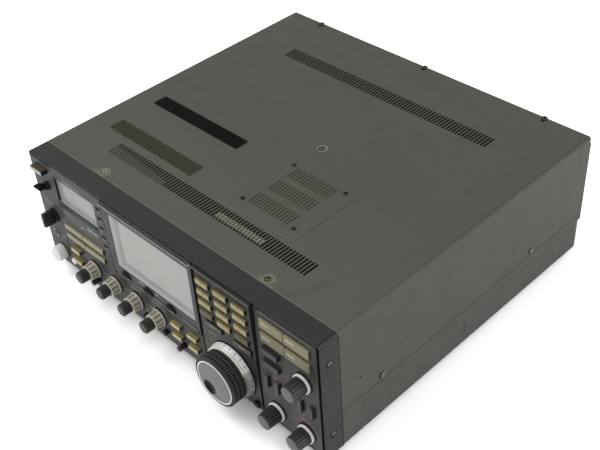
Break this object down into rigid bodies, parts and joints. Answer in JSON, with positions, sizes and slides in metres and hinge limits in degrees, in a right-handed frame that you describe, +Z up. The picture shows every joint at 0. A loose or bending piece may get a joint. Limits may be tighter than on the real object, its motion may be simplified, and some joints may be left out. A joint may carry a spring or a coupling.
{
  "type": "amateur radio transceiver",
  "caption": "Desk radio transceiver in a vented metal cabinet with a large tuning dial, display window, needle meter, key groups and concentric knobs on its front.",
  "frame": {"origin": "middle of the overall box, at the level the feet stand on", "axes": "+Z up, -Y towards the front with the dial, +X to the right seen from the front"},
  "size_m": [0.431, 0.4486, 0.1557],
  "materials": {
    "chassis_steel": "plated sheet",
    "frame_plastic": "satin charcoal",
    "panel_plastic": "satin grey",
    "bezel_plastic": "satin grey",
    "keypad_plastic": "satin dark grey",
    "cover_paint": "fine textured paint, worn",
    "lower_paint": "fine textured paint",
    "rear_paint": "matt paint",
    "sink_aluminium": "black anodised",
    "socket_metal": "nickel plated",
    "black_plastic": "matt",
    "foot_rubber": "matt",
    "screw_steel": "dulled plating",
    "meter_scale": "white scale",
    "clear_lens": "clear",
    "tube_glass": "dark glass front",
    "filter_glass": "grey tinted filter",
    "speaker_frame": "black paint",
    "board_laminate": "green solder mask",
    "shield_steel": "plated sheet",
    "control_metal": "nickel plated",
    "lamp_lens": "smoked",
    "hook_fabric": "black hook pile",
    "beige_key": "satin beige",
    "grey_key": "satin grey beige",
    "dark_key": "satin dark grey",
    "black_gloss": "polished black",
    "cap_plastic": "pale grey",
    "dial_rubber": "ribbed black grip",
    "silver_plastic": "satin silver",
    "knob_black": "fluted black",
    "needle_paint": "red"
  },
  "bodies": {
    "case": {"chassis": "chassis_steel", "front_frame": "frame_plastic", "main_panel": "panel_plastic", "display_bezel": "bezel_plastic", "keypad_panel": "keypad_plastic", "right_panel": "panel_plastic", "top_cover": "cover_paint", "bottom_cover": "lower_paint", "rear_panel": "rear_paint", "heat_sink": "sink_aluminium", "rear_sockets": "socket_metal", "fan_frame": "black_plastic", "feet": "foot_rubber", "case_screws": "screw_steel", "meter_case": "meter_scale", "meter_lens": "clear_lens", "display_tube": "tube_glass", "display_filter": "filter_glass", "speaker": "speaker_frame", "main_board": "board_laminate", "power_supply": "shield_steel", "control_board": "board_laminate", "rotary_controls": "control_metal", "front_sockets": "socket_metal", "indicator_lenses": "lamp_lens", "hook_strip": "hook_fabric"},
    "power_button": {"power_button": "beige_key"},
    "transmit_lever": {"transmit_lever": "black_gloss"},
    "meter_selector": {"meter_selector": "black_gloss"},
    "mic_cap": {"mic_cap": "cap_plastic"},
    "dial": {"tuning_dial": "dial_rubber", "dial_skirt": "silver_plastic"},
    "dial_lock_key": {"dial_lock_key": "black_plastic"},
    "outer_knob_a": {"outer_knob_a": "silver_plastic"},
    "outer_knob_b": {"outer_knob_b": "silver_plastic"},
    "outer_knob_c": {"outer_knob_c": "silver_plastic"},
    "outer_knob_d": {"outer_knob_d": "silver_plastic"},
    "inner_knob_a": {"inner_knob_a": "knob_black"},
    "inner_knob_b": {"inner_knob_b": "knob_black"},
    "inner_knob_c": {"inner_knob_c": "knob_black"},
    "inner_knob_d": {"inner_knob_d": "knob_black"},
    "side_knob_a": {"side_knob_a": "knob_black"},
    "side_knob_b": {"side_knob_b": "knob_black"},
    "side_knob_c": {"side_knob_c": "knob_black"},
    "meter_needle": {"meter_needle": "needle_paint"},
    "fan_rotor": {"fan_rotor": "black_plastic"},
    "mode_key_a": {"mode_key_a": "beige_key"},
    "mode_key_b": {"mode_key_b": "beige_key"},
    "mode_key_c": {"mode_key_c": "beige_key"},
    "mode_key_d": {"mode_key_d": "beige_key"},
    "memory_key_a": {"memory_key_a": "grey_key"},
    "memory_key_b": {"memory_key_b": "grey_key"},
    "memory_key_c": {"memory_key_c": "grey_key"},
    "memory_key_d": {"memory_key_d": "grey_key"},
    "side_keys": {"side_keys": "dark_key"},
    "narrow_keys": {"narrow_keys": "dark_key"},
    "keypad_keys": {"keypad_keys": "beige_key"},
    "small_keys": {"small_keys": "beige_key"},
    "round_buttons": {"round_buttons": "black_gloss"},
    "half_round_keys": {"half_round_keys": "black_gloss"}
  },
  "joints": [
    {"name": "power_button_press", "type": "slide", "parent": "case", "child": "power_button", "axis": [0, 1, 0], "range_m": [0, 0.0012], "stiffness_N_per_m": 800},
    {"name": "dial_lock_key_press", "type": "slide", "parent": "case", "child": "dial_lock_key", "axis": [0, 1, 0], "range_m": [0, 0.0012], "stiffness_N_per_m": 800},
    {"name": "mode_key_a_press", "type": "slide", "parent": "case", "child": "mode_key_a", "axis": [0, 1, 0], "range_m": [0, 0.0012], "stiffness_N_per_m": 800},
    {"name": "mode_key_b_press", "type": "slide", "parent": "case", "child": "mode_key_b", "axis": [0, 1, 0], "range_m": [0, 0.0012], "stiffness_N_per_m": 800},
    {"name": "mode_key_c_press", "type": "slide", "parent": "case", "child": "mode_key_c", "axis": [0, 1, 0], "range_m": [0, 0.0012], "stiffness_N_per_m": 800},
    {"name": "mode_key_d_press", "type": "slide", "parent": "case", "child": "mode_key_d", "axis": [0, 1, 0], "range_m": [0, 0.0012], "stiffness_N_per_m": 800},
    {"name": "memory_key_a_press", "type": "slide", "parent": "case", "child": "memory_key_a", "axis": [0, 1, 0], "range_m": [0, 0.0012], "stiffness_N_per_m": 800},
    {"name": "memory_key_b_press", "type": "slide", "parent": "case", "child": "memory_key_b", "axis": [0, 1, 0], "range_m": [0, 0.0012], "stiffness_N_per_m": 800},
    {"name": "memory_key_c_press", "type": "slide", "parent": "case", "child": "memory_key_c", "axis": [0, 1, 0], "range_m": [0, 0.0012], "stiffness_N_per_m": 800},
    {"name": "memory_key_d_press", "type": "slide", "parent": "case", "child": "memory_key_d", "axis": [0, 1, 0], "range_m": [0, 0.0012], "stiffness_N_per_m": 800},
    {"name": "side_keys_press", "type": "slide", "parent": "case", "child": "side_keys", "axis": [0, 1, 0], "range_m": [0, 0.0012], "stiffness_N_per_m": 800},
    {"name": "narrow_keys_press", "type": "slide", "parent": "case", "child": "narrow_keys", "axis": [0, 1, 0], "range_m": [0, 0.0012], "stiffness_N_per_m": 800},
    {"name": "keypad_keys_press", "type": "slide", "parent": "case", "child": "keypad_keys", "axis": [0, 1, 0], "range_m": [0, 0.0012], "stiffness_N_per_m": 800},
    {"name": "small_keys_press", "type": "slide", "parent": "case", "child": "small_keys", "axis": [0, 1, 0], "range_m": [0, 0.0012], "stiffness_N_per_m": 800},
    {"name": "round_buttons_press", "type": "slide", "parent": "case", "child": "round_buttons", "axis": [0, 1, 0], "range_m": [0, 0.0012], "stiffness_N_per_m": 800},
    {"name": "half_round_keys_press", "type": "slide", "parent": "case", "child": "half_round_keys", "axis": [0, 1, 0], "range_m": [0, 0.0012], "stiffness_N_per_m": 800},
    {"name": "transmit_lever_flip", "type": "hinge", "parent": "case", "child": "transmit_lever", "pos_m": [-0.1904, -0.19775, 0.1185], "axis": [1, 0, 0], "range_deg": [0, 30]},
    {"name": "meter_selector_turn", "type": "hinge", "parent": "case", "child": "meter_selector", "pos_m": [-0.1909, -0.19875, 0.0785], "axis": [0, 1, 0], "range_deg": [-60, 60]},
    {"name": "mic_cap_pull", "type": "slide", "parent": "case", "child": "mic_cap", "axis": [0, -1, 0], "range_m": [0, 0.012]},
    {"name": "dial_spin", "type": "hinge", "parent": "case", "child": "dial", "pos_m": [0.0951, -0.19875, 0.0435], "axis": [0, 1, 0], "continuous": true},
    {"name": "outer_knob_a_turn", "type": "hinge", "parent": "case", "child": "outer_knob_a", "pos_m": [-0.1287, -0.19875, 0.0371], "axis": [0, 1, 0], "range_deg": [-150, 150]},
    {"name": "inner_knob_a_turn", "type": "hinge", "parent": "case", "child": "inner_knob_a", "pos_m": [-0.1287, -0.19875, 0.0371], "axis": [0, 1, 0], "range_deg": [-150, 150]},
    {"name": "outer_knob_b_turn", "type": "hinge", "parent": "case", "child": "outer_knob_b", "pos_m": [-0.0918, -0.19875, 0.0371], "axis": [0, 1, 0], "range_deg": [-150, 150]},
    {"name": "inner_knob_b_turn", "type": "hinge", "parent": "case", "child": "inner_knob_b", "pos_m": [-0.0918, -0.19875, 0.0371], "axis": [0, 1, 0], "range_deg": [-150, 150]},
    {"name": "outer_knob_c_turn", "type": "hinge", "parent": "case", "child": "outer_knob_c", "pos_m": [-0.0549, -0.19875, 0.0371], "axis": [0, 1, 0], "range_deg": [-150, 150]},
    {"name": "inner_knob_c_turn", "type": "hinge", "parent": "case", "child": "inner_knob_c", "pos_m": [-0.0549, -0.19875, 0.0371], "axis": [0, 1, 0], "range_deg": [-150, 150]},
    {"name": "outer_knob_d_turn", "type": "hinge", "parent": "case", "child": "outer_knob_d", "pos_m": [-0.018, -0.19875, 0.0371], "axis": [0, 1, 0], "range_deg": [-150, 150]},
    {"name": "inner_knob_d_turn", "type": "hinge", "parent": "case", "child": "inner_knob_d", "pos_m": [-0.018, -0.19875, 0.0371], "axis": [0, 1, 0], "range_deg": [-150, 150]},
    {"name": "side_knob_a_turn", "type": "hinge", "parent": "case", "child": "side_knob_a", "pos_m": [0.1919, -0.19875, 0.0965], "axis": [0, 1, 0], "range_deg": [-150, 150]},
    {"name": "side_knob_b_turn", "type": "hinge", "parent": "case", "child": "side_knob_b", "pos_m": [0.1545, -0.19875, 0.0302], "axis": [0, 1, 0], "range_deg": [-150, 150]},
    {"name": "side_knob_c_turn", "type": "hinge", "parent": "case", "child": "side_knob_c", "pos_m": [0.192, -0.19875, 0.0299], "axis": [0, 1, 0], "range_deg": [-150, 150]},
    {"name": "meter_needle_swing", "type": "hinge", "parent": "case", "child": "meter_needle", "pos_m": [-0.1399, -0.19575, 0.083], "axis": [0, 1, 0], "range_deg": [0, 45], "stiffness_Nm_per_rad": 0.0005},
    {"name": "fan_spin", "type": "hinge", "parent": "case", "child": "fan_rotor", "pos_m": [-0.0234, 0.19225, 0.0825], "axis": [0, 1, 0], "continuous": true}
  ]
}
